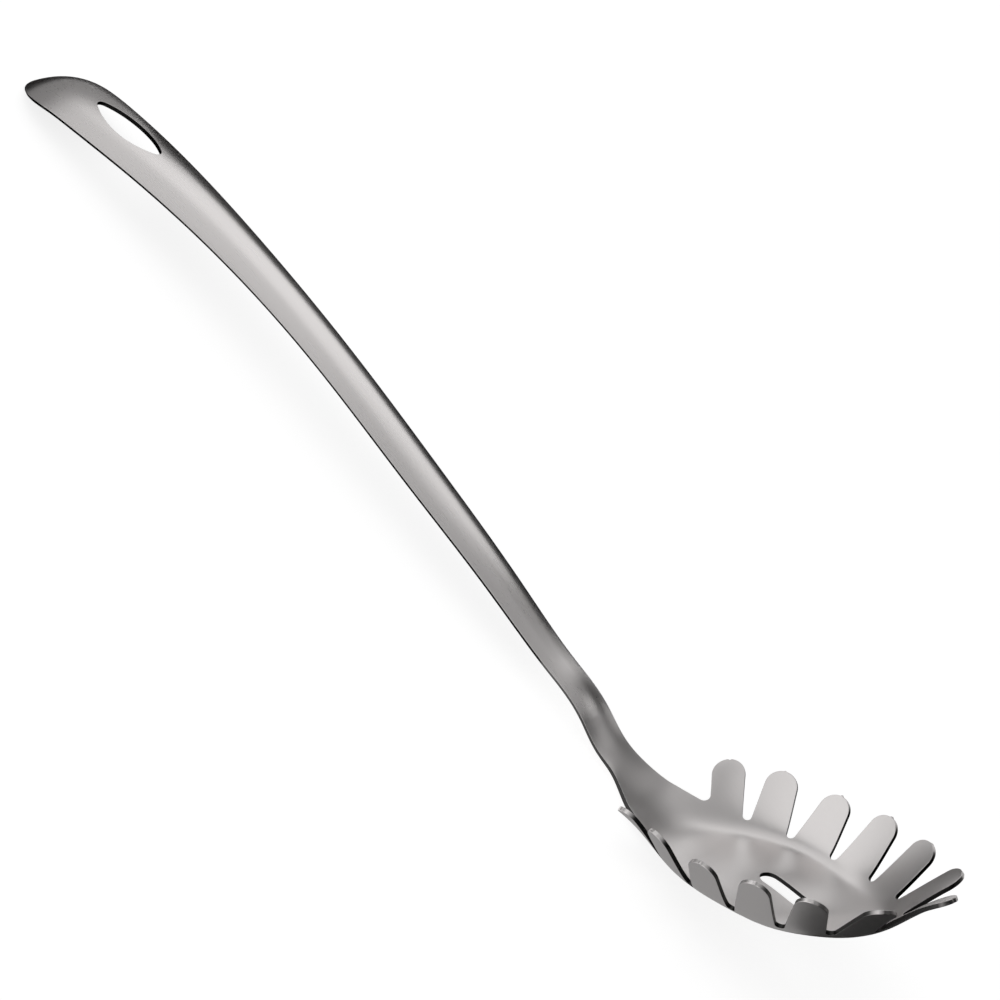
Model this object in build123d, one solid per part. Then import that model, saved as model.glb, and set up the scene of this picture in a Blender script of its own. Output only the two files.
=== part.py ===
from build123d import *
import math
import os
import numpy as np

# A pasta server pressed from stainless steel sheet. All lengths are in millimetres.
# The shape is set out in the rim frame: x runs forward along the bowl, y across it,
# and z is square to the plane of the tine tips, with the origin at the floor's middle.
# The finished pieces are then laid down, with the handle end and the neck bend resting
# on z = 0, the hollow of the bowl upward and the handle toward -x.

# Sheet
sheet = 1.2

# Handle: a channel, open below, with a rounded end
handle_reach = 269.0
handle_rise = 139.0
grip_half_width = 12.8
grip_arch = 3.7
grip_end_length = 14.5
ridge_place_share = (1.0, 0.942, 0.884, 0.788, 0.646, 0.479, 0.311, 0.167, 0.072, 0.0)
ridge_height_share = (1.0, 0.9964, 0.9687, 0.906, 0.789, 0.617, 0.413, 0.232, 0.1069, 0.0)
width_place_share = (1.0, 0.884, 0.788, 0.646, 0.479, 0.311, 0.167, 0.072, 0.0)
half_width_share = (1.0, 1.0, 0.903, 0.726, 0.6125, 0.5725, 0.494, 0.451, 0.461)
arch_place_share = (1.0, 0.858, 0.434, 0.0)
arch_height_share = (1.0, 1.0, 0.70, 0.33)

# Neck: where the handle's curves meet those of the bowl, behind the dish
neck_back = 9.0
neck_rise = 23.6
neck_place_share = (-0.986, -0.87)
neck_half_width_share = (0.50, 0.56)
arch_end_share = -0.37

# Hanging hole: an almond along the ridge, placed from the handle's end
hole_place = 33.7
hole_length = 26.0
hole_width = 10.0
hole_point_radius = 2.0

# Bowl: an oval dish whose rim is cut into tines
dish_half_length = 51.0
dish_half_width = 31.0
dish_set_back = 1.0
dish_depth = 15.0
flare_height = 50.0
flare_bend_share = 0.04
flare_turn_share = (-1.0, -0.75, -0.5, -0.1, 0.25, 0.6, 0.85, 1.0)
flare_height_share = (0.998, 1.13, 1.03, 0.946, 1.026, 0.85, 0.914, 1.132)
flare_start_turn_share = (-1.0, -0.6, 0.0, 0.5, 1.0)
flare_start_share = (0.614, 0.679, 0.698, 0.664, 0.636)
floor_place_share = (-0.92, -0.78, -0.55, -0.27, 0.0, 0.20, 0.42, 0.68, 0.86, 1.0)
floor_height_share = (0.405, 0.19, 0.12, 0.09, 0.017, -0.06, -0.02, -0.005, -0.10, -0.31)
hollow_place_share = (-1.2, -0.7, -0.45, -0.1, 0.1, 0.28, 0.45, 0.62, 0.8, 1.0)
hollow_depth_share = (0.0, 0.0, 0.0, -0.05, 0.035, 0.12, 0.085, 0.01, 0.0, 0.0)
hollow_half_width_share = 0.7
rear_limit_share = 0.78
centre_share = 0.01
bowl_start_share = -1.21
bowl_full_share = -0.86
channel_end_share = -0.95
channel_fade_share = 0.6

# Tines, from the front one round to the one beside the neck
tip_radius = 4.3
valley_radius = 1.2
tip_turns = (0.0, 33.0, 57.5, 76.0, 94.0, 113.0, 131.5)
valley_turns = (16.5, 42.5, 65.0, 87.0, 108.0, 128.0, 147.0)
valley_reach_share = (0.70, 0.70, 0.70, 0.70, 0.71, 0.72, 0.78)

# Shoulders: the edges spread from the channel into the bowl
shoulder_place_share = (-0.985, -0.90, -0.815)
shoulder_half_width_share = (0.208, 0.26, 0.33)
shoulder_valley_radius = 1.8

# Drain slot in the floor
slot_length = 17.5
slot_width = 5.8
slot_middle = 3.0

# Seam between the handle and the bowl, ground flush, placed from the back of the dish
seam_place = 11.0
seam_width = 2.2

# How the skins are sampled
handle_stations = 31
end_stations = 9
handle_columns = 7
bowl_stations = 45
bowl_columns = 31
rest_samples = 80
quarter_turn = 90.0
mesh_share = 0.01
skin_margin_share = 1.5
skin_neck_share = 1.5
skin_wide_share = 1.08
skin_front_share = 0.6
skin_spread_share = 0.3
skin_front_place_share = (0.45, 0.7)


def smooth_curve(places, heights):
    """Return the natural cubic curve through heights at places."""
    places = np.array(places)
    heights = np.array(heights)
    gaps = np.diff(places)
    last = len(places) - 1
    rows = np.eye(last + 1)
    bends = np.zeros(last + 1)
    for i in range(1, last):
        rows[i, i - 1] = gaps[i - 1]
        rows[i, i] = 2 * (gaps[i - 1] + gaps[i])
        rows[i, i + 1] = gaps[i]
        rise = (heights[i + 1] - heights[i]) / gaps[i]
        bends[i] = 6 * (rise - (heights[i] - heights[i - 1]) / gaps[i - 1])
    bends = np.linalg.solve(rows, bends)

    def curve(place):
        place = np.asarray(place, float)
        i = np.clip(np.searchsorted(places, place) - 1, 0, last - 1)
        back = (places[i + 1] - place) / gaps[i]
        on = (place - places[i]) / gaps[i]
        bend = (back**3 - back) * bends[i] + (on**3 - on) * bends[i + 1]
        return back * heights[i] + on * heights[i + 1] + bend * gaps[i]**2 / 6

    return curve


def scaled(shares, size):
    """Return the shares as lengths of the given size."""
    return [share * size for share in shares]


def along_handle(shares):
    """Return places along the handle, 0 being its neck and 1 its far end."""
    neck = dish_half_length + neck_back
    return [-neck - share * (handle_reach - neck) for share in shares]


ridge = smooth_curve(
    along_handle(ridge_place_share) + scaled(floor_place_share, dish_half_length),
    [neck_rise + rise for rise in scaled(ridge_height_share, handle_rise - neck_rise)]
    + scaled(floor_height_share, dish_depth))
channel_half_width = smooth_curve(
    along_handle(width_place_share) + scaled(neck_place_share, dish_half_length),
    scaled(half_width_share + neck_half_width_share, grip_half_width))
arch = smooth_curve(
    along_handle(arch_place_share) + [arch_end_share * dish_half_length],
    scaled(arch_height_share, grip_arch) + [0])
hollow_depth = smooth_curve(
    scaled(hollow_place_share, dish_half_length), scaled(hollow_depth_share, dish_depth))
flare_rise = smooth_curve(flare_turn_share, scaled(flare_height_share, flare_height))
flare_start = smooth_curve(flare_start_turn_share, flare_start_share)
channel_end = neck_place_share[-1] * dish_half_length
seam_middle = -dish_half_length - seam_place


def ease(share):
    """Return a smooth rise from 0 to 1 as share runs from 0 to 1."""
    share = np.clip(share, 0, 1)
    return share**3 * (share * (6 * share - 15) + 10)


def along_share(x):
    """Return how far forward of the dish's middle a place lies, held back behind the dish."""
    along = (x + dish_set_back) / dish_half_length
    behind = np.maximum(-along, 0) / rear_limit_share
    return along / (1 + behind**6)**(1 / 6)


def reach_share(x, y):
    """Return how far out a place lies, 1 being the oval through the tine tips."""
    return np.sqrt(along_share(x)**2 + (y / dish_half_width)**2)


def flare(x, y):
    """Return how far the dish's side has risen from its flat floor."""
    reach = reach_share(x, y)
    turn = along_share(x) / np.maximum(reach, centre_share)
    past = (reach - flare_start(turn)) / flare_bend_share
    return flare_rise(turn) * flare_bend_share * np.logaddexp(0, past)


def end_share(x):
    """Return how far along the handle's rounded end a place lies."""
    return np.maximum(0, grip_end_length - handle_reach - x) / grip_end_length


def hollow(x, y):
    """Return how far the floor's middle lies below the floor beside it."""
    out = np.minimum(1, np.abs(y) / (dish_half_width * hollow_half_width_share))
    return hollow_depth(x) * (1 - out**2)**3


def height(x, y):
    """Return the height of the upper skin."""
    bowl = ease((x / dish_half_length - bowl_start_share) / (bowl_full_share - bowl_start_share))
    channel = 1 - ease((x / dish_half_length - channel_end_share) / channel_fade_share)
    droop = (y / channel_half_width(np.minimum(x, channel_end)))**2 + end_share(x)**2
    return ridge(x) - arch(x) * droop * channel + bowl * (flare(x, y) - hollow(x, y))


def skin_point(x, y):
    """Return the point of the upper skin at a place in plan."""
    return Vector(float(x), float(y), float(height(x, y)))


def skin_normal(x, y):
    """Return the upward normal of the upper skin."""
    near = sheet / 100
    slope_x = (height(x + near, y) - height(x - near, y)) / (2 * near)
    slope_y = (height(x, y + near) - height(x, y - near)) / (2 * near)
    return Vector(-float(slope_x), -float(slope_y), 1).normalized()


def onto_skin(point, direction):
    """Return the point of the upper skin along a direction from the given point."""
    moved = 0.0
    for _ in range(12):
        here = point + direction * moved
        miss = float(height(here.X, here.Y)) - here.Z
        normal = skin_normal(here.X, here.Y)
        slope = -(normal.X * direction.X + normal.Y * direction.Y) / normal.Z
        moved -= miss / (slope - direction.Z)
    return point + direction * moved


def oval_point(turn, share):
    """Return the skin point at a turn round the dish and a share of the way out."""
    turn = math.radians(turn)
    x = dish_half_length * share * math.cos(turn) - dish_set_back
    return skin_point(x, dish_half_width * share * math.sin(turn))


def valley_place(i):
    """Return the bottom of the gap after tine i."""
    return oval_point(valley_turns[i], valley_reach_share[i])


def tine_place(i):
    """Return the centre of a tine's round end and its tip."""
    tip = oval_point(tip_turns[i], 1)
    after = valley_place(i)
    before = Vector(after.X, -after.Y, after.Z) if i == 0 else valley_place(i - 1)
    root = skin_point((after.X + before.X) / 2, (after.Y + before.Y) / 2)
    share = 1 - tip_radius / (tip - root).length
    return skin_point(root.X + (tip.X - root.X) * share, root.Y + (tip.Y - root.Y) * share), tip


def shoulder_point(i):
    """Return a point on the edge where the neck spreads into the bowl."""
    x = dish_half_length * shoulder_place_share[i]
    return skin_point(x, dish_half_width * shoulder_half_width_share[i])


def gap_frame(valley, middle):
    """Return a plane at the valley, with y toward the gap's mouth."""
    half = ((valley.X + middle.X) / 2, (valley.Y + middle.Y) / 2)
    normal = skin_normal(*half)
    toward = middle - valley
    toward = (toward - normal * toward.dot(normal)).normalized()
    return Plane(origin=valley, x_dir=toward.cross(normal), z_dir=normal)


def tangent_points(valley_centre, valley_size, end_centre, end_size):
    """Return where the side of a gap leaves the valley's arc and meets the tine's round."""
    span = end_centre - valley_centre
    side = 1 if end_centre.X > 0 else -1
    lean = math.degrees(math.acos((valley_size + end_size) / span.length))
    out = span.normalized().rotate(Axis.Z, -side * lean)
    return valley_centre + out * valley_size, end_centre - out * end_size


def in_plan(points):
    """Return the points in plan."""
    return [(point.X, point.Y) for point in points]


def tip_arc(centre, tip, start):
    """Return plan points of a tine's round end, from where its side starts to its tip."""
    normal = skin_normal(centre.X, centre.Y)
    axis = tip - centre
    axis = (axis - normal * axis.dot(normal)).normalized()
    across = axis.cross(normal)
    first = start - centre
    turn = math.atan2(first.dot(across), first.dot(axis))
    extra = math.hypot(first.dot(across), first.dot(axis)) - tip_radius
    points = [start]
    for share in (0.75, 0.5, 0.25):
        reach = tip_radius + extra * share**2
        ray = axis * math.cos(turn * share) + across * math.sin(turn * share)
        points.append(onto_skin(centre + ray * reach, normal))
    return in_plan(points + [tip])


def gap_edges(i):
    """Return the plan edges of the gap after tine i, from its own tip to the next piece."""
    valley = valley_place(i)
    centre, tip = tine_place(i)
    beside_neck = i == len(tip_turns) - 1
    radius = shoulder_valley_radius if beside_neck else valley_radius
    if beside_neck:
        next_centre = shoulder_point(-1)
        next_tip = next_centre
        next_size = 0
    else:
        next_centre, next_tip = tine_place(i + 1)
        next_size = tip_radius
    frame = gap_frame(valley, (tip + next_tip) / 2)
    bottom = Vector(0, radius, 0)
    leave, meet = tangent_points(bottom, radius, flat(frame, centre), tip_radius)
    next_leave, next_meet = tangent_points(bottom, radius, flat(frame, next_centre), next_size)
    low = bottom + ((leave + next_leave) / 2 - bottom).normalized() * radius
    if low.Y > radius:
        low = bottom * 2 - low
    leave, meet, next_leave, next_meet, low = [
        onto_skin(frame.from_local_coords(point), frame.z_dir)
        for point in (leave, meet, next_leave, next_meet, low)]
    edges = [Spline(*tip_arc(centre, tip, meet)[::-1])]
    edges.append(Line(*in_plan([meet, leave])))
    edges.append(ThreePointArc(*in_plan([leave, low, next_leave])))
    edges.append(Line(*in_plan([next_leave, next_meet])))
    if not beside_neck:
        edges.append(Spline(*tip_arc(next_centre, next_tip, next_meet)))
    return edges


def flat(frame, point):
    """Return a point's place in a frame, moved onto the frame's own plane."""
    local = frame.to_local_coords(point)
    return Vector(local.X, local.Y, 0)


def skin_face(stations, reach, columns):
    """Return the upper skin between the first and last station, to a reach on either side."""
    shares = [float(share) for share in np.linspace(0, 1, columns)]
    sections = []
    for x in stations:
        points = [skin_point(x, (2 * share - 1) * reach(x)) for share in shares]
        sections.append(Wire([Edge.make_spline(points, parameters=shares)]))
    return Shell.make_loft(sections).faces()[0]


def pressed(skin, outline, openings):
    """Return the sheet under a skin, trimmed to a plan outline and its openings."""
    top = handle_rise + dish_depth
    flat_shape = Pos(0, 0, -top) * make_face(outline)
    trimmed = skin & extrude(flat_shape, 2 * top)
    for opening in openings:
        trimmed = trimmed - extrude(Pos(0, 0, -top) * opening, 2 * top)
    face = trimmed.faces()[0]
    depth = sheet if face.normal_at().Z < 0 else -sheet
    return Solid.thicken(face, depth)


def both_sides(edges):
    """Return the edges and their mirror images across the middle plane."""
    return edges + [mirror(edge, Plane.XZ) for edge in edges]


def bowl_reach(x):
    """Return a half width that takes in the tines, the shoulders and a margin."""
    neck = dish_half_width * shoulder_half_width_share[0] * skin_neck_share
    spread = ease((x / dish_half_length - shoulder_place_share[0]) / skin_spread_share)
    start, run = skin_front_place_share
    front = ease((x / dish_half_length - start) / run)
    wide = dish_half_width * (skin_wide_share - skin_front_share * front)
    return neck + (wide - neck) * spread


def bowl_sheet():
    """Return the bowl with its neck, before the neck is cut at the seam."""
    start = seam_middle - grip_half_width
    end = dish_half_length - dish_set_back + sheet * skin_margin_share
    skin = skin_face(np.linspace(start - sheet, end, bowl_stations), bowl_reach, bowl_columns)
    edges = []
    for i in range(len(tip_turns)):
        edges += gap_edges(i)
    places = np.linspace(start, dish_half_length * shoulder_place_share[0], 5)[:-1]
    neck = [(float(x), float(channel_half_width(x))) for x in places]
    shoulder = in_plan([shoulder_point(i) for i in range(len(shoulder_place_share))])
    edges.append(Spline(*(neck + shoulder)))
    closing = Line((neck[0][0], neck[0][1]), (neck[0][0], -neck[0][1]))
    outline = both_sides(edges) + [closing]
    slot = Pos(slot_middle, 0) * SlotOverall(slot_length, slot_width)
    return pressed(skin, outline, [slot])


def handle_sheet():
    """Return the handle, before it is cut at the seam."""
    end = -dish_half_length
    margin = sheet * skin_margin_share
    round_start = grip_end_length - handle_reach
    rounded = np.linspace(-handle_reach - margin, round_start, end_stations)
    straight = np.linspace(round_start, end + sheet, handle_stations)
    stations = np.concatenate([rounded, straight[1:]])
    skin = skin_face(stations, lambda x: float(channel_half_width(x)) + margin, handle_columns)
    places = np.linspace(round_start, end, 16)
    side = [(float(x), float(channel_half_width(x))) for x in places]
    edges = [Spline(*side)]
    edges.append(EllipticalCenterArc(
        (round_start, 0), grip_end_length, side[0][1],
        start_angle=quarter_turn, arc_size=quarter_turn))
    closing = Line(side[-1], (end, -side[-1][1]))
    half = hole_length / 2
    return pressed(skin, both_sides(edges) + [closing], [hanging_hole(half)])


def hanging_hole(half):
    """Return the plan shape of the almond hole."""
    middle = hole_place - handle_reach
    lean = math.cos(math.atan2(hole_rise(half), hole_length))
    reach = half * lean
    edges = [
        ThreePointArc((middle - reach, 0), (middle, hole_width / 2), (middle + reach, 0)),
        ThreePointArc((middle - reach, 0), (middle, -hole_width / 2), (middle + reach, 0))]
    almond = make_face(edges)
    return fillet(almond.vertices(), hole_point_radius)


def hole_rise(half):
    """Return how far the ridge climbs over the hanging hole."""
    middle = hole_place - handle_reach
    return float(height(middle - half, 0) - height(middle + half, 0))


def seam_sheet():
    """Return a short length of neck that takes in the seam."""
    places = np.linspace(seam_middle - 2 * seam_width, seam_middle + 2 * seam_width, 7)
    skin = skin_face(places, lambda x: float(channel_half_width(x)) + sheet, handle_columns)
    side = [(float(x), float(channel_half_width(x))) for x in places[1:-1]]
    ends = [Line(place, (place[0], -place[1])) for place in (side[0], side[-1])]
    return pressed(skin, both_sides([Spline(*side)]) + ends, [])


def seam_plane(offset):
    """Return a plane square to the neck, offset toward the bowl from the seam's middle."""
    middle = skin_point(seam_middle, 0)
    up = skin_normal(seam_middle, 0)
    forward = Vector(0, 1, 0).cross(up)
    return Plane(origin=middle + forward * offset, x_dir=(0, 1, 0), z_dir=forward)


def underside(first, last):
    """Return the x and z of points under the sheet between two places along it."""
    shoulder = valley_place(len(valley_turns) - 1).X
    low = []
    for x in np.linspace(first, last, rest_samples):
        rounded = math.sqrt(1 - min(1, end_share(x))**2)
        reach = channel_half_width(min(x, channel_end)) * rounded
        if x > shoulder:
            reach = dish_half_width * min(flare_start_share)
        low += [(x, share * reach) for share in np.linspace(0, 1, 11)]
    points = [skin_point(x, y) - skin_normal(x, y) * sheet for x, y in low]
    return np.array([point.X for point in points]), np.array([point.Z for point in points])


def resting_turn():
    """Return the turn about y that brings the handle end and the neck bend level."""
    grip = underside(-handle_reach, seam_middle * 2)
    bend = underside(seam_middle * 2, 0)
    steep = -45.0
    level = 0.0
    for _ in range(40):
        turn = (steep + level) / 2
        sine = math.sin(math.radians(turn))
        cosine = math.cos(math.radians(turn))
        lows = [np.min(z * cosine - x * sine) for x, z in (grip, bend)]
        if lows[0] > lows[1]:
            level = turn
        else:
            steep = turn
    return turn


handle = split(handle_sheet(), bisect_by=seam_plane(-seam_width / 2), keep=Keep.BOTTOM)
head = split(bowl_sheet(), bisect_by=seam_plane(seam_width / 2), keep=Keep.TOP)
seam = split(seam_sheet(), bisect_by=seam_plane(seam_width / 2), keep=Keep.BOTTOM)
neck_weld = split(seam, bisect_by=seam_plane(-seam_width / 2), keep=Keep.TOP)

pieces = {"handle": handle, "head": head, "neck_weld": neck_weld}
turn = resting_turn()
turned = {name: Rot(0, turn, 0) * piece for name, piece in pieces.items()}
corners = [corner for piece in turned.values() for corner in piece.tessellate(sheet * mesh_share)[0]]
along = [corner.X for corner in corners]
shift = Pos(-(min(along) + max(along)) / 2, 0, -min(corner.Z for corner in corners))

os.makedirs("parts", exist_ok=True)
for name, piece in turned.items():
    export_step(shift * piece, f"parts/{name}.step")
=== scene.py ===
"""A satin stainless steel pasta server that lies on a pale surface, all in metres."""

import math

import bpy
import numpy as np
from mathutils import Matrix, Vector
from mathutils.geometry import delaunay_2d_cdt


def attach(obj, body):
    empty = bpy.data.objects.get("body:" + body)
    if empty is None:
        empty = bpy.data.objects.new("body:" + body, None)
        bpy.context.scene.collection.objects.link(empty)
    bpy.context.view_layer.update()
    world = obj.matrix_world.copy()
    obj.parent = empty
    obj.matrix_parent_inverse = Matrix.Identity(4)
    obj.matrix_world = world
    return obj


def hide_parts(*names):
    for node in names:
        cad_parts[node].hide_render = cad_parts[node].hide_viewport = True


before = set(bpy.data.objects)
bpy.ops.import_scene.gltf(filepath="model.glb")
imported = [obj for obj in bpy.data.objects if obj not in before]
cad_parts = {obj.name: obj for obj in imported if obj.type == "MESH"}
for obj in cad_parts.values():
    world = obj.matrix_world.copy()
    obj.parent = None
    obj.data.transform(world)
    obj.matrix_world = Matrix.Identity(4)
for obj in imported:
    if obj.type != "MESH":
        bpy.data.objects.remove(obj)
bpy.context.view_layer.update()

# The sheet, and how far its cut edges are rounded after blanking
SHEET = 0.0012
EDGE_ROUND = 0.00014

# The handle, in the frame of the bowl's rim: x forward along the bowl, z square to the tine tips' plane
HANDLE_REACH = 0.269
HANDLE_RISE = 0.139
GRIP_HALF_WIDTH = 0.0128
GRIP_ARCH = 0.0037
GRIP_END_LENGTH = 0.0145
NECK_REACH = 0.060
NECK_RISE = 0.0236
RIDGE_PLACES = (1.0, 0.942, 0.884, 0.788, 0.646, 0.479, 0.311, 0.167, 0.072, 0.0)
RIDGE_HEIGHTS = (1.0, 0.9964, 0.9687, 0.906, 0.789, 0.617, 0.413, 0.232, 0.1069, 0.0)
WIDTH_PLACES = (1.0, 0.884, 0.788, 0.646, 0.479, 0.311, 0.167, 0.072, 0.0)
HALF_WIDTHS = (1.0, 1.0, 0.903, 0.726, 0.6125, 0.5725, 0.494, 0.451, 0.461, 0.50, 0.56)
NECK_PLACES = (-0.986, -0.87)
ARCH_PLACES = (1.0, 0.858, 0.434, 0.0)
ARCH_HEIGHTS = (1.0, 1.0, 0.70, 0.33, 0.0)
ARCH_END = -0.37
HOLE_PLACE = 0.2353
HOLE_LENGTH = 0.026
HOLE_WIDTH = 0.010
HOLE_POINT_RADIUS = 0.002

# The bowl
DISH_HALF_LENGTH = 0.051
DISH_HALF_WIDTH = 0.031
DISH_SET_BACK = 0.001
DISH_DEPTH = 0.015
FLARE_HEIGHT = 0.050
FLARE_BEND = 0.04
FLARE_TURNS = (-1.0, -0.75, -0.5, -0.1, 0.25, 0.6, 0.85, 1.0)
FLARE_HEIGHTS = (0.998, 1.13, 1.03, 0.946, 1.026, 0.85, 0.914, 1.132)
FLARE_START_TURNS = (-1.0, -0.6, 0.0, 0.5, 1.0)
FLARE_STARTS = (0.614, 0.679, 0.698, 0.664, 0.636)
FLOOR_PLACES = (-0.92, -0.78, -0.55, -0.27, 0.0, 0.20, 0.42, 0.68, 0.86, 1.0)
FLOOR_HEIGHTS = (0.405, 0.19, 0.12, 0.09, 0.017, -0.06, -0.02, -0.005, -0.10, -0.31)
HOLLOW_PLACES = (-1.2, -0.7, -0.45, -0.1, 0.1, 0.28, 0.45, 0.62, 0.8, 1.0)
HOLLOW_DEPTHS = (0.0, 0.0, 0.0, -0.05, 0.035, 0.12, 0.085, 0.01, 0.0, 0.0)
HOLLOW_HALF_WIDTH = 0.7
REAR_LIMIT = 0.78
BOWL_START = -1.21
BOWL_FULL = -0.86
CHANNEL_END = -0.95
CHANNEL_FADE = 0.6
TIP_RADIUS = 0.0043
VALLEY_RADIUS = 0.0012
TIP_TURNS = (0.0, 33.0, 57.5, 76.0, 94.0, 113.0, 131.5)
VALLEY_TURNS = (16.5, 42.5, 65.0, 87.0, 108.0, 128.0, 147.0)
VALLEY_REACHES = (0.70, 0.70, 0.70, 0.70, 0.71, 0.72, 0.78)
SHOULDER_PLACES = (-0.985, -0.90, -0.815)
SHOULDER_HALF_WIDTHS = (0.208, 0.26, 0.33)
SHOULDER_VALLEY_RADIUS = 0.0018
SLOT_LENGTH = 0.0175
SLOT_WIDTH = 0.0058
SLOT_MIDDLE = 0.003
SEAM_PLACE = 0.062
SEAM_WIDTH = 0.0022

# How the server lies: turned about y from the rim's frame, then slid and lifted onto the surface
LYING_TURN = math.radians(-29.4184)
LYING_SLIDE = 0.132049
LYING_LIFT = 0.014938

# How close the points of each pressed sheet stand, and how far apart its rows are to that
HANDLE_SPACING = 0.0013
BOWL_SPACING = 0.0011
ROW_SHARE = 0.866
CLEAR_SHARE = 0.55

# The steel's duller and brighter brushing, and the near black laid on the side walls of its cut edges as
# painted shade
DULL_STEEL = (0.71, 0.685, 0.68, 1)
BRIGHT_STEEL = (0.77, 0.745, 0.735, 1)
EDGE_SHADE_STEEL = (0.05, 0.049, 0.048, 1)

# The set: a pale table that glows a little to what looks at it, a white room and one soft lamp
TABLE_COLOUR = (0.3, 0.3, 0.3, 1)
TABLE_GLOW = 0.82
TABLE_HALF_SIDE = 4
ROOM_LIGHT = (0.6, 0.6, 0.6, 1)
ROOM_SEEN = (1, 1, 1, 1)
LAMP_PLACE = (-0.9, -0.4, 1.3)
LAMP_AIM = (0.03, 0, 0.02)
LAMP_SIDE = 1.2
LAMP_POWER = 4.5

# How the photograph's camera stands to the server, before both are slid and lifted
CAMERA_PLACE = (0.31614, -1.20006, 0.92707)
CAMERA_ACROSS = (0.62439, 0.60499, 0.49410)
CAMERA_DOWN = (0.72944, -0.22535, -0.64585)
FOCAL_PIXELS = 6114.7
IMAGE_PIXELS = 1000
SENSOR_WIDTH = 36


def smooth_curve(places, heights):
    """Return the natural cubic curve through heights at places."""
    places = np.array(places)
    heights = np.array(heights)
    gaps = np.diff(places)
    last = len(places) - 1
    rows = np.eye(last + 1)
    bends = np.zeros(last + 1)
    for i in range(1, last):
        rows[i, i - 1:i + 2] = gaps[i - 1], 2 * (gaps[i - 1] + gaps[i]), gaps[i]
        bends[i] = 6 * ((heights[i + 1] - heights[i]) / gaps[i] - (heights[i] - heights[i - 1]) / gaps[i - 1])
    bends = np.linalg.solve(rows, bends)

    def curve(place):
        place = np.asarray(place, float)
        i = np.clip(np.searchsorted(places, place) - 1, 0, last - 1)
        back = (places[i + 1] - place) / gaps[i]
        on = (place - places[i]) / gaps[i]
        bend = (back**3 - back) * bends[i] + (on**3 - on) * bends[i + 1]
        return back * heights[i] + on * heights[i + 1] + bend * gaps[i]**2 / 6

    return curve


def scaled(shares, size):
    """Return shares of a size as lengths."""
    return [share * size for share in shares]


def along_handle(shares):
    """Return places along the handle, 0 being its neck and 1 its far end."""
    return [-NECK_REACH - share * (HANDLE_REACH - NECK_REACH) for share in shares]


handle_rises = [NECK_RISE + rise for rise in scaled(RIDGE_HEIGHTS, HANDLE_RISE - NECK_RISE)]
ridge = smooth_curve(
    along_handle(RIDGE_PLACES) + scaled(FLOOR_PLACES, DISH_HALF_LENGTH),
    handle_rises + scaled(FLOOR_HEIGHTS, DISH_DEPTH))
channel_half_width = smooth_curve(
    along_handle(WIDTH_PLACES) + scaled(NECK_PLACES, DISH_HALF_LENGTH), scaled(HALF_WIDTHS, GRIP_HALF_WIDTH))
arch = smooth_curve(
    along_handle(ARCH_PLACES) + [ARCH_END * DISH_HALF_LENGTH], scaled(ARCH_HEIGHTS, GRIP_ARCH))
hollow_depth = smooth_curve(scaled(HOLLOW_PLACES, DISH_HALF_LENGTH), scaled(HOLLOW_DEPTHS, DISH_DEPTH))
flare_rise = smooth_curve(FLARE_TURNS, scaled(FLARE_HEIGHTS, FLARE_HEIGHT))
flare_start = smooth_curve(FLARE_START_TURNS, FLARE_STARTS)


def ease(share):
    """Return a smooth rise from 0 to 1 as share runs from 0 to 1."""
    share = np.clip(share, 0, 1)
    return share**3 * (share * (6 * share - 15) + 10)


def along_share(x):
    """Return how far forward of the dish's middle a place lies, held back behind the dish."""
    along = (x + DISH_SET_BACK) / DISH_HALF_LENGTH
    behind = np.maximum(-along, 0) / REAR_LIMIT
    return along / (1 + behind**6)**(1 / 6)


def flare(x, y):
    """Return how far the dish's side has risen from its flat floor."""
    reach = np.sqrt(along_share(x)**2 + (y / DISH_HALF_WIDTH)**2)
    turn = along_share(x) / np.maximum(reach, 0.01)
    return flare_rise(turn) * FLARE_BEND * np.logaddexp(0, (reach - flare_start(turn)) / FLARE_BEND)


def hollow(x, y):
    """Return how far the floor's middle lies below the floor beside it."""
    out = np.minimum(1, np.abs(y) / (DISH_HALF_WIDTH * HOLLOW_HALF_WIDTH))
    return hollow_depth(x) * (1 - out**2)**3


def height(x, y):
    """Return the height of the sheet's upper side over a place in plan."""
    bowl = ease((x / DISH_HALF_LENGTH - BOWL_START) / (BOWL_FULL - BOWL_START))
    channel = 1 - ease((x / DISH_HALF_LENGTH - CHANNEL_END) / CHANNEL_FADE)
    end = np.maximum(0, GRIP_END_LENGTH - HANDLE_REACH - x) / GRIP_END_LENGTH
    droop = (y / channel_half_width(np.minimum(x, NECK_PLACES[-1] * DISH_HALF_LENGTH)))**2 + end**2
    return ridge(x) - arch(x) * droop * channel + bowl * (flare(x, y) - hollow(x, y))


def unit(vectors):
    """Return vectors at a length of 1."""
    return vectors / np.linalg.norm(vectors, axis=-1, keepdims=True)


def upper_side(plan):
    """Return points on the sheet's upper side over plan points."""
    plan = np.asarray(plan, float)
    return np.concatenate([plan, height(plan[..., 0], plan[..., 1])[..., None]], axis=-1)


def upward(plan):
    """Return the upper side's normals over plan points."""
    plan = np.asarray(plan, float)
    x, y = plan[..., 0], plan[..., 1]
    near = SHEET / 100
    slope_x = (height(x + near, y) - height(x - near, y)) / (2 * near)
    slope_y = (height(x, y + near) - height(x, y - near)) / (2 * near)
    return unit(np.stack([-slope_x, -slope_y, np.ones_like(slope_x)], axis=-1))


def onto_upper_side(points, direction):
    """Return where lines through points along a direction meet the sheet's upper side."""
    points = np.array(points, float)
    for _ in range(12):
        normals = upward(points[..., :2])
        slopes = -(normals[..., :2] / normals[..., 2:]) @ direction[:2] - direction[2]
        miss = height(points[..., 0], points[..., 1]) - points[..., 2]
        points -= (miss / slopes)[..., None] * direction
    return points


# The outlines that the sheet is cut to, as plan points in the rim's frame


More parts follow.
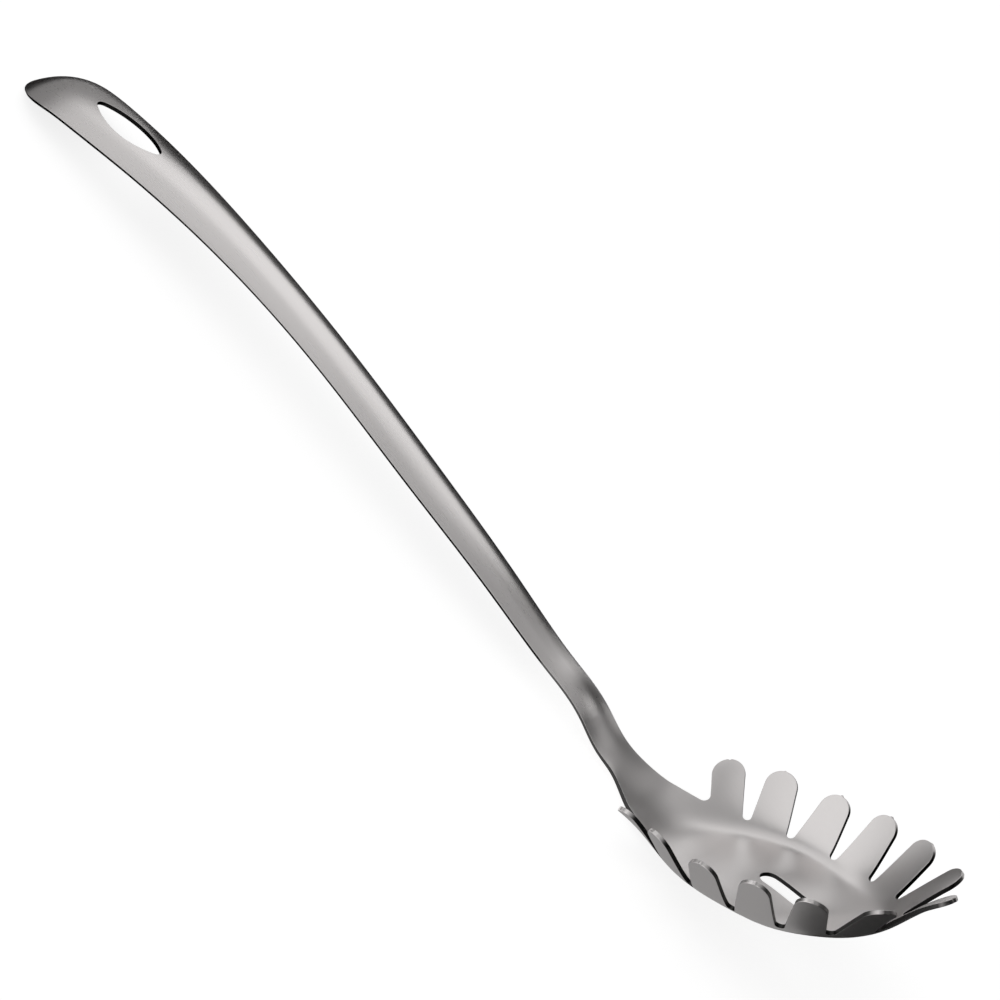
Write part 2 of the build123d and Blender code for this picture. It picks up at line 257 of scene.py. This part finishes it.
def oval_place(turn, share):
    """Return the plan place at a turn round the dish and a share of the way out."""
    turn = math.radians(turn)
    return np.array([DISH_HALF_LENGTH * share * math.cos(turn) - DISH_SET_BACK,
                     DISH_HALF_WIDTH * share * math.sin(turn)])


def tine_places(i):
    """Return the centre of a tine's round end and its tip, on the upper side."""
    after = oval_place(VALLEY_TURNS[i], VALLEY_REACHES[i])
    before = after * (1, -1) if i == 0 else oval_place(VALLEY_TURNS[i - 1], VALLEY_REACHES[i - 1])
    root = (after + before) / 2
    tip = oval_place(TIP_TURNS[i], 1)
    length = np.linalg.norm(upper_side(tip) - upper_side(root))
    return upper_side(root + (tip - root) * (1 - TIP_RADIUS / length)), upper_side(tip)


def round_end(centre, tip, start):
    """Return plan points round half of a tine's end, from where its side starts to its tip."""
    normal = upward(centre[:2])
    axis = tip - centre
    axis = unit(axis - normal * (axis @ normal))
    across = np.cross(axis, normal)
    first = start - centre
    turn = math.atan2(first @ across, first @ axis)
    extra = math.hypot(first @ across, first @ axis) - TIP_RADIUS
    shares = np.linspace(1, 0, 16)[1:-1, None]
    rays = np.cos(turn * shares) * axis + np.sin(turn * shares) * across
    points = onto_upper_side(centre + rays * (TIP_RADIUS + extra * shares**2), normal)
    return np.vstack([start[:2], points[:, :2], tip[:2]])


def turned(vector, angle):
    """Return a plan vector turned by an angle."""
    cosine, sine = math.cos(angle), math.sin(angle)
    return np.array([vector[0] * cosine - vector[1] * sine, vector[0] * sine + vector[1] * cosine])


def shoulder():
    """Return plan points down the edge where the neck spreads into the bowl, toward the seam."""
    places = list(np.linspace(-SEAM_PLACE * 1.2, DISH_HALF_LENGTH * SHOULDER_PLACES[0], 5)[:-1])
    widths = [float(channel_half_width(place)) for place in places]
    edge = smooth_curve(places + scaled(SHOULDER_PLACES, DISH_HALF_LENGTH),
                        widths + scaled(SHOULDER_HALF_WIDTHS, DISH_HALF_WIDTH))
    x = np.linspace(DISH_HALF_LENGTH * SHOULDER_PLACES[-1], seam_edge(1), 40)
    return np.stack([x, edge(x)], axis=1)


def seam_edge(side):
    """Return the place along the neck of the seam's edge toward the bowl (1) or the handle (-1)."""
    return -SEAM_PLACE + side * SEAM_WIDTH / 2 * upward([-SEAM_PLACE, 0])[2]


def gap_outline(i):
    """Return plan points round the gap after tine i, from its tip to the next tip or the shoulder."""
    valley = upper_side(oval_place(VALLEY_TURNS[i], VALLEY_REACHES[i]))
    centre, tip = tine_places(i)
    last = i == len(TIP_TURNS) - 1
    radius = SHOULDER_VALLEY_RADIUS if last else VALLEY_RADIUS
    if last:
        next_centre = next_tip = upper_side(shoulder()[0])
    else:
        next_centre, next_tip = tine_places(i + 1)
    middle = (tip + next_tip) / 2
    normal = upward((valley + middle)[:2] / 2)
    toward = unit(middle - valley - normal * ((middle - valley) @ normal))
    axes = np.array([np.cross(toward, normal), toward])
    bottom = np.array([0, radius])
    corners = []
    for place, size in ((centre, TIP_RADIUS), (next_centre, 0 if last else TIP_RADIUS)):
        end = axes @ (place - valley)
        span = end - bottom
        lean = math.acos((radius + size) / np.linalg.norm(span)) * (-1 if end[0] > 0 else 1)
        out = turned(unit(span), lean)
        corners.append((bottom + out * radius, end - out * size))
    (leave, meet), (next_leave, next_meet) = corners
    first, final = (math.atan2(*(point - bottom)[::-1]) for point in (leave, next_leave))
    sweep = (final - first) % (2 * math.pi)
    if math.sin(first + sweep / 2) > 0:
        sweep -= 2 * math.pi
    turns = first + sweep * np.linspace(0, 1, 14)
    arc = bottom + radius * np.stack([np.cos(turns), np.sin(turns)], axis=1)
    along = np.linspace(0, 1, 14)[:, None]
    down_side = meet + (leave - meet) * along[:-1]
    up_side = next_leave + (next_meet - next_leave) * along[1:]
    points = onto_upper_side(valley + np.vstack([down_side, arc, up_side]) @ axes, normal)
    pieces = [round_end(centre, tip, points[0])[::-1], points[1:-1, :2]]
    if last:
        pieces.append(points[-1:, :2])
    else:
        pieces.append(round_end(next_centre, next_tip, points[-1])[:-1])
    return np.vstack(pieces)


def mirrored(points):
    """Return plan points on the other side of the server's middle."""
    return points * (1, -1)


def bowl_run():
    """Return the bowl's cut edge, from the seam on the near side round to the seam on the far side."""
    far = np.vstack([gap_outline(i) for i in range(len(TIP_TURNS))] + [shoulder()[1:]])
    return np.vstack([mirrored(far)[:0:-1], far])


def slot_run():
    """Return the drain slot's edge, clockwise."""
    half = SLOT_LENGTH / 2 - SLOT_WIDTH / 2
    turns = np.linspace(math.pi / 2, -math.pi / 2, 17)
    round_half = SLOT_WIDTH / 2 * np.stack([np.cos(turns), np.sin(turns)], axis=1)
    straight = np.linspace(half, -half, 14)[1:-1]
    under = np.stack([straight, np.full_like(straight, -SLOT_WIDTH / 2)], axis=1)
    return np.vstack([round_half + (half, 0), under, -round_half - (half, 0), -under]) + (SLOT_MIDDLE, 0)


def hole_run():
    """Return the hanging hole's edge, clockwise: an almond with rounded points."""
    near = 0.001
    slope = float(ridge(-HOLE_PLACE + near) - ridge(-HOLE_PLACE - near)) / (2 * near)
    half = HOLE_LENGTH / math.hypot(1, slope) / 2
    wide = HOLE_WIDTH / 2
    radius = (half**2 + wide**2) / (2 * wide)
    drop = radius - wide
    inner = radius - HOLE_POINT_RADIUS
    point = math.sqrt(inner**2 - drop**2)
    reach = math.atan2(point, drop)
    sides = np.linspace(-reach, reach, 40)
    upper = np.stack([radius * np.sin(sides), radius * np.cos(sides) - drop], axis=1)
    turns = np.linspace(math.pi / 2 - reach, reach - math.pi / 2, 9)[1:-1]
    tip = np.stack([point + HOLE_POINT_RADIUS * np.cos(turns), HOLE_POINT_RADIUS * np.sin(turns)], axis=1)
    return np.vstack([upper, tip, -upper, -tip]) + (-HOLE_PLACE, 0)


def handle_run():
    """Return the handle's cut edge, from the seam on the far side round its end to the near side."""
    start = GRIP_END_LENGTH - HANDLE_REACH
    x = np.linspace(seam_edge(-1), start, 180)
    side = np.stack([x, channel_half_width(x)], axis=1)
    turns = np.linspace(math.pi / 2, math.pi, 32)[1:]
    end = np.stack([start + GRIP_END_LENGTH * np.cos(turns), side[-1, 1] * np.sin(turns)], axis=1)
    far = np.vstack([side, end])
    return np.vstack([far, mirrored(far)[-2::-1]])


def seam_runs():
    """Return the two cut edges of the seam's strip."""
    x = np.linspace(seam_edge(1), seam_edge(-1), 7)
    far = np.stack([x, channel_half_width(x)], axis=1)
    return [far, mirrored(far)[::-1]]


# Pressing sheet to shape


def edge_profile():
    """Return how far out and how deep the points of a cut edge lie, and which way each one faces."""
    turns = np.radians((0, 30, 60, 90))
    out = EDGE_ROUND * (np.sin(turns) - 1)
    deep = EDGE_ROUND * (1 - np.cos(turns))
    profile = np.stack([out, deep, np.sin(turns), np.cos(turns)], axis=1)
    under = profile[::-1] * (1, -1, 1, -1) + (0, SHEET, 0, 0)
    return np.vstack([profile, under])


def shade_on_edges(plan):
    """Return how much painted shade darkens the cut edge at plan points: none at the tine tips, where the edge
    catches the light, full between them.
    """
    tips = np.array([oval_place(side * turn, 1) for turn in TIP_TURNS for side in (1, -1)])
    nearest = np.linalg.norm(plan[:, None] - tips, axis=2).min(axis=1)
    return np.clip(nearest / TIP_RADIUS * 2 - 1, 0, 1)


def inside(points, loops):
    """Return which plan points lie inside the loops, counting crossings."""
    starts = np.vstack(loops)
    ends = np.vstack([np.roll(loop, -1, axis=0) for loop in loops])
    hits = np.zeros(len(points), int)
    for (x0, y0), (x1, y1) in zip(starts, ends):
        if y0 != y1:
            crosses = (y0 > points[:, 1]) != (y1 > points[:, 1])
            hits += crosses & (points[:, 0] < x0 + (points[:, 1] - y0) / (y1 - y0) * (x1 - x0))
    return hits % 2 == 1


def fill_places(loops, spacing):
    """Return a staggered grid of plan points inside the loops, clear of their points."""
    rim = np.vstack(loops)
    low, high = rim.min(axis=0), rim.max(axis=0)
    rows = np.arange(low[1] + spacing / 2, high[1], spacing * ROW_SHARE)
    rows -= rows.mean()
    places = []
    for k, y in enumerate(rows):
        x = np.arange(low[0] + (0.25 + 0.5 * (k % 2)) * spacing, high[0], spacing)
        places.append(np.stack([x, np.full(len(x), y)], axis=1))
    places = np.vstack(places)
    places = places[inside(places, loops)]
    clear = np.ones(len(places), bool)
    for point in rim:
        clear &= ((places - point)**2).sum(axis=1) > (CLEAR_SHARE * spacing)**2
    return places[clear]


def triangles_between(places, edges, loops):
    """Return triangles that join plan places inside the loops, counter-clockwise."""
    points = [Vector(place) * 1000 for place in places.tolist()]
    _, _, faces, origins, _, _ = delaunay_2d_cdt(points, edges, [], 0, 1e-6)
    source = [origin[0] for origin in origins]
    corners = np.array([[source[v] for v in face] for face in faces])
    middles = places[corners].mean(axis=1)
    corners = corners[inside(middles, loops)]
    a, b, c = (places[corners[:, k]] for k in range(3))
    area = (b - a)[:, 0] * (c - a)[:, 1] - (b - a)[:, 1] * (c - a)[:, 0]
    corners[area < 0] = corners[area < 0][:, ::-1]
    return corners[np.abs(area) > 1e-13]


def press(name, open_runs, closed_runs, spacing):
    """Make a piece of sheet from its cut edges. Open runs are joined end to end across seams."""
    profile = edge_profile()
    deep = len(profile)
    points, normals, edge_shade = [], [], []
    columns, plan, edges, seams = [], [], [], []

    def add(position, normal, cut=0.0):
        points.append(position)
        normals.append(normal)
        edge_shade.append(cut)
        return len(points) - 1

    for closed, run in [(False, run) for run in open_runs] + [(True, run) for run in closed_runs]:
        upper, up = upper_side(run), upward(run)
        ahead = np.roll(upper, -1, axis=0) - np.roll(upper, 1, axis=0)
        if not closed:
            ahead[0], ahead[-1] = upper[1] - upper[0], upper[-1] - upper[-2]
        out = unit(np.cross(unit(ahead), up))
        made = []
        for place, normal, away, cut in zip(upper, up, out, shade_on_edges(np.array(run))):
            # Painted shade goes only on the side-facing points of each cut edge, not on its upper and under
            # faces
            column = [add(place + away * o - normal * d, away * s + normal * c, cut * (abs(c) < 0.8))
                      for o, d, s, c in profile]
            made.append(column)
        columns.append((closed, made))

    top_of, bottom_of = [], []

    def mark(top, bottom):
        top_of.append(top)
        bottom_of.append(bottom)
        plan.append(points[top][:2])
        return len(plan) - 1

    loops = []
    outer = []
    for k, (closed, made) in enumerate(columns):
        marks = [mark(column[0], column[-1]) for column in made]
        if closed:
            loops.append(marks)
            continue
        outer += marks
        onward = columns[(k + 1) % len(open_runs)][1][0] if len(open_runs) > 1 else made[0]
        start, stop = points[made[-1][0]], points[onward[0]]
        count = max(2, int(abs(stop[1] - start[1]) / spacing))
        across = [start[:2] + (stop[:2] - start[:2]) * share for share in np.linspace(0, 1, count + 1)[1:-1]]
        seam = []
        for place in across:
            up = upward(place)
            upper = upper_side(place)
            seam.append(mark(add(upper, up), add(upper - up * SHEET, -up)))
        outer += seam
        seams.append((made[-1], onward, seam))
    loops.insert(0, outer)
    flat_loops = [np.array([plan[m] for m in marks]) for marks in loops]
    for marks in loops:
        edges += list(zip(marks, marks[1:] + marks[:1]))
    for place in fill_places(flat_loops, spacing):
        up = upward(place)
        upper = upper_side(place)
        mark(add(upper, up), add(upper - up * SHEET, -up))
    triangles = triangles_between(np.array(plan), edges, flat_loops)

    faces = [[top_of[m] for m in corner] for corner in triangles.tolist()]
    faces += [[bottom_of[m] for m in corner[::-1]] for corner in triangles.tolist()]
    for closed, made in columns:
        pairs = list(zip(made, made[1:] + made[:1])) if closed else list(zip(made, made[1:]))
        for here, there in pairs:
            faces += [[there[k], here[k], here[k + 1], there[k + 1]] for k in range(deep - 1)]
    caps = []
    for last, onward, seam in seams:
        upper_row = [top_of[m] for m in seam[::-1]]
        under_row = [bottom_of[m] for m in seam]
        caps.append(onward[:1] + upper_row + last + under_row + onward[:0:-1])
    return sheet_object(name, np.array(points), np.array(normals), faces, caps, edge_shade)


def sheet_object(name, points, normals, faces, caps, edge_shade):
    """Return a smooth-shaded object from the rim frame, laid down on the surface."""
    cosine, sine = math.cos(LYING_TURN), math.sin(LYING_TURN)
    lay = np.array([[cosine, 0, sine], [0, 1, 0], [-sine, 0, cosine]])
    mesh = bpy.data.meshes.new(name)
    mesh.from_pydata((points @ lay.T + (LYING_SLIDE, 0, LYING_LIFT)).tolist(), [], faces + caps)
    mesh.shade_smooth()
    laid = unit(normals) @ lay.T
    facing = [laid[corner] for face in faces for corner in face]
    for cap in caps:
        side = points[cap].mean(axis=0)[0] - points[:, 0].mean()
        across = np.array([math.copysign(1, side), 0, 0]) @ lay.T
        facing += [across] * len(cap)
    mesh.normals_split_custom_set([tuple(normal) for normal in facing])
    # Each point's share of the painted shade on the cut edges, which the steel darkens toward near black
    mesh.attributes.new("painted_edge_shade", "FLOAT", "POINT").data.foreach_set("value", edge_shade)
    piece = bpy.data.objects.new(name, mesh)
    bpy.context.scene.collection.objects.link(piece)
    return piece


# Finishes


class Shade:
    """A value or colour of a finish, worked on with plain arithmetic."""

    def __init__(self, finish, socket):
        self.finish = finish
        self.socket = socket

    def math(self, operation, *others):
        values = dict(enumerate((self, *others)))
        return self.finish.add("ShaderNodeMath", {"operation": operation}, values)

    def __add__(self, other):
        return self.math("ADD", other)

    def __mul__(self, other):
        return self.math("MULTIPLY", other)

    __radd__ = __add__
    __rmul__ = __mul__


class Finish:
    """The nodes of a material or of the world's light."""

    def __init__(self, owner):
        self.owner = owner
        owner.use_nodes = True
        self.tree = owner.node_tree
        self.tree.nodes.clear()

    def add(self, kind, settings, values, output=0):
        """Add a node: its settings first, then its sockets' values or links."""
        node = self.tree.nodes.new(kind)
        for name, setting in settings.items():
            setattr(node, name, setting)
        for name, value in values.items():
            if isinstance(value, Shade):
                self.tree.links.new(value.socket, node.inputs[name])
            else:
                node.inputs[name].default_value = value
        return Shade(self, node.outputs[output]) if node.outputs else node

    def mix(self, share, low, high):
        """Mix two colours."""
        return self.add("ShaderNodeMix", {"data_type": "RGBA"}, {0: share, 6: low, 7: high}, 2)

    def seen_directly(self):
        """Return 1 for what the camera, a gloss or a clear body sees, 0 for what only sheds light."""
        rays = [self.add("ShaderNodeLightPath", {}, {}, name) for name in
                ("Is Camera Ray", "Is Glossy Ray", "Is Transmission Ray")]
        return rays[0].math("MAXIMUM", rays[1].math("MAXIMUM", rays[2]))


def steel(name, streak_scale, streak_depth, rough):
    """Return satin stainless steel whose fine brushing runs along x, with painted shade darkening the side
    walls of its cut edges.
    """
    finish = Finish(bpy.data.materials.new(name))
    place = finish.add("ShaderNodeTexCoord", {}, {}, "Object")
    stretched = finish.add("ShaderNodeMapping", {}, {"Vector": place, "Scale": streak_scale})
    streaks = finish.add("ShaderNodeTexNoise", {"noise_dimensions": "3D"},
                         {"Vector": stretched, "Scale": 1.0, "Detail": 4.0, "Roughness": 0.6})
    clouds = finish.add("ShaderNodeTexNoise", {"noise_dimensions": "3D"},
                        {"Vector": place, "Scale": 38.0, "Detail": 2.0, "Roughness": 0.5})
    brushed = finish.mix(streaks * 0.5 + clouds * 0.5, DULL_STEEL, BRIGHT_STEEL)
    # Painted shade: the cut edges' side walls are darkened toward near black by this share
    edge_shade = finish.add("ShaderNodeAttribute", {"attribute_name": "painted_edge_shade"}, {}, "Fac")
    colour = finish.mix(edge_shade, brushed, EDGE_SHADE_STEEL)
    roughness = rough - 0.04 + streaks * 0.05 + clouds * 0.03
    normal = finish.add("ShaderNodeBump", {},
                        {"Strength": streak_depth, "Distance": 0.0001, "Height": streaks})
    shader = finish.add("ShaderNodeBsdfPrincipled", {},
                        {"Base Color": colour, "Metallic": 1.0, "Roughness": roughness, "Normal": normal})
    finish.add("ShaderNodeOutputMaterial", {}, {"Surface": shader})
    return finish.owner


def surface_finish(name, colour, glow):
    """Return a matt pale surface that keeps its shadows and looks white to the camera."""
    finish = Finish(bpy.data.materials.new(name))
    seen_glow = finish.mix(finish.seen_directly(), (0, 0, 0, 1), (glow, glow, glow, 1))
    shader = finish.add("ShaderNodeBsdfPrincipled", {},
                        {"Base Color": colour, "Roughness": 0.9, "Specular IOR Level": 0.1,
                         "Emission Color": seen_glow, "Emission Strength": 1.0})
    finish.add("ShaderNodeOutputMaterial", {}, {"Surface": shader})
    return finish.owner


def card_finish(name, tone):
    """Return an even grey that shows as the given tone in the steel."""
    finish = Finish(bpy.data.materials.new(name))
    shader = finish.add("ShaderNodeEmission", {}, {"Color": (tone, tone, tone, 1), "Strength": 1.0})
    finish.add("ShaderNodeOutputMaterial", {}, {"Surface": shader})
    return finish.owner


# The set: each card's tone, its middle and its two half sides
DARK_CARDS = (
    ("card far behind the neck", 0.06, (0.005, 0.50, 0.45), (0.065, 0, 0), (0, 0, 0.45)),
    ("card behind the neck", 0.66, (0.185, 0.50, 0.45), (0.115, 0, 0), (0, 0, 0.45)),
    ("card far right", 0.0, (0.65, 0.50, 0.50), (0.35, 0, 0), (0, 0, 0.50)),
    ("card beyond the bowl", 0.0, (0.55, 0.0, 0.50), (0, 0.70, 0), (0, 0, 0.50)),
    ("card behind the bowl", 0.0, (0.070, 0.075, 0.051), (0.026, 0, 0), (0, 0, 0.015)),
    ("card behind the handle", 0.0, (-0.08, 0.10, 0.022), (0.10, 0, 0), (0, 0, 0.022)),
    ("card low at the left", 0.25, (-0.30, 0.15, 0.080), (0, 0.19, 0), (0, 0, 0.080)),
    ("card near the left", 0.0, (-0.35, -0.105, 0.060), (0, 0.095, 0), (0, 0, 0.060)),
    ("card flat under the handle", 0.0, (-0.1025, 0.15, 0.0006), (0.1475, 0, 0), (0, 0.20, 0)),
    ("card flat at the left", 0.0, (-0.30, -0.07, 0.0006), (0.15, 0, 0), (0, 0.16, 0)),
    ("card flat beyond the bowl", 0.03, (0.345, 0.175, 0.0006), (0.215, 0, 0), (0, 0.178, 0)),
    ("card flat at the right", 0.0, (0.40, -0.25, 0.0006), (0.20, 0, 0), (0, 0.25, 0)),
    ("card under the near tines", 0.36, (0.123, -0.029, 0.0004), (0.033, 0, 0), (0, 0.029, 0)),
    ("card under the bowl's front", 0.06, (0.178, -0.029, 0.0006), (0.022, 0, 0), (0, 0.029, 0)),
    ("card overhead", 0.36, (0.05, 0.15, 0.80), (0.20, 0, 0), (0, 0.65, 0)),
    ("card overhead right", 0.0, (0.60, 0.15, 0.80), (0.35, 0, 0), (0, 0.65, 0)),
    ("card overhead front", 0.05, (-0.525, -0.40, 0.80), (0.375, 0, 0), (0, 0.12, 0)),
    ("card overhead back", 0.72, (-0.525, 0.035, 0.80), (0.375, 0, 0), (0, 0.315, 0)),
)


def flat_panel(name, centre, across, up, finish):
    """Return a flat rectangle set up from its middle and its two half sides."""
    centre, across, up = (Vector(v) for v in (centre, across, up))
    corners = [centre - across - up, centre + across - up, centre + across + up, centre - across + up]
    mesh = bpy.data.meshes.new(name)
    mesh.from_pydata([tuple(corner) for corner in corners], [], [(0, 1, 2, 3)])
    mesh.materials.append(finish)
    panel = bpy.data.objects.new(name, mesh)
    bpy.context.scene.collection.objects.link(panel)
    return panel


def dark_card(name, tone, centre, across, up):
    """Stand a grey or black card that only the steel's reflections see."""
    card = flat_panel(name, centre, across, up, card_finish(name, tone))
    card.visible_camera = False
    card.visible_diffuse = False
    card.visible_shadow = False
    card.visible_transmission = False


def soft_lamp(name, place, aim, side, power):
    """Hang a large square lamp that faces a point and that the steel doesn't reflect."""
    light = bpy.data.lights.new(name, "AREA")
    light.shape = "RECTANGLE"
    light.size = side
    light.size_y = side
    light.energy = power
    lamp = bpy.data.objects.new(name, light)
    lamp.location = place
    lamp.rotation_euler = (Vector(aim) - Vector(place)).to_track_quat("-Z", "Y").to_euler()
    lamp.visible_glossy = False
    bpy.context.scene.collection.objects.link(lamp)


def light_the_set():
    """Give the server a white room, a pale table, one soft lamp and the cards that the steel reflects."""
    world = bpy.data.worlds.new("studio")
    bpy.context.scene.world = world
    surround = Finish(world)
    colour = surround.mix(surround.seen_directly(), ROOM_LIGHT, ROOM_SEEN)
    shader = surround.add("ShaderNodeBackground", {}, {"Color": colour, "Strength": 1.0})
    surround.add("ShaderNodeOutputWorld", {}, {"Surface": shader})
    table_finish = surface_finish("pale table", TABLE_COLOUR, TABLE_GLOW)
    flat_panel("table", (0, 0, 0), (TABLE_HALF_SIDE, 0, 0), (0, TABLE_HALF_SIDE, 0), table_finish)
    soft_lamp("window light", LAMP_PLACE, LAMP_AIM, LAMP_SIDE, LAMP_POWER)
    for card in DARK_CARDS:
        dark_card(*card)


def set_camera():
    """Stand the camera where the photograph was taken from."""
    across, down = Vector(CAMERA_ACROSS).normalized(), Vector(CAMERA_DOWN)
    up = -(down - across * down.dot(across)).normalized()
    back = across.cross(up)
    camera = bpy.data.cameras.new("camera")
    camera.sensor_width = SENSOR_WIDTH
    camera.lens = SENSOR_WIDTH * FOCAL_PIXELS / IMAGE_PIXELS
    camera.clip_end = 50
    stand = bpy.data.objects.new("camera", camera)
    place = Vector(CAMERA_PLACE) + Vector((LYING_SLIDE, 0, LYING_LIFT))
    turn = Matrix((across, up, back)).transposed().to_4x4()
    stand.matrix_world = Matrix.Translation(place) @ turn
    bpy.context.scene.collection.objects.link(stand)
    bpy.context.scene.camera = stand


def make_server():
    """Press the handle, the bowl and the seam's strip, each in place of its solid."""
    along = steel("brushed handle steel", (60, 2600, 2600), 0.10, 0.28)
    satin = steel("satin bowl steel", (300, 1500, 1500), 0.08, 0.36)
    ground = steel("ground seam steel", (90, 2600, 2600), 0.12, 0.30)
    pieces = (
        ("handle", press("handle_sheet", [handle_run()], [hole_run()], HANDLE_SPACING), "handle_steel", along),
        ("head", press("bowl_sheet", [bowl_run()], [slot_run()], BOWL_SPACING), "bowl_steel", satin),
        ("neck_weld", press("seam_strip", seam_runs(), [], BOWL_SPACING), "seam_steel", ground))
    for node, piece, slot, finish in pieces:
        piece.data.materials.append(finish)
        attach(piece, "root")
        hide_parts(node)


make_server()
light_the_set()
set_camera()
bpy.context.scene.view_settings.view_transform = "Standard"
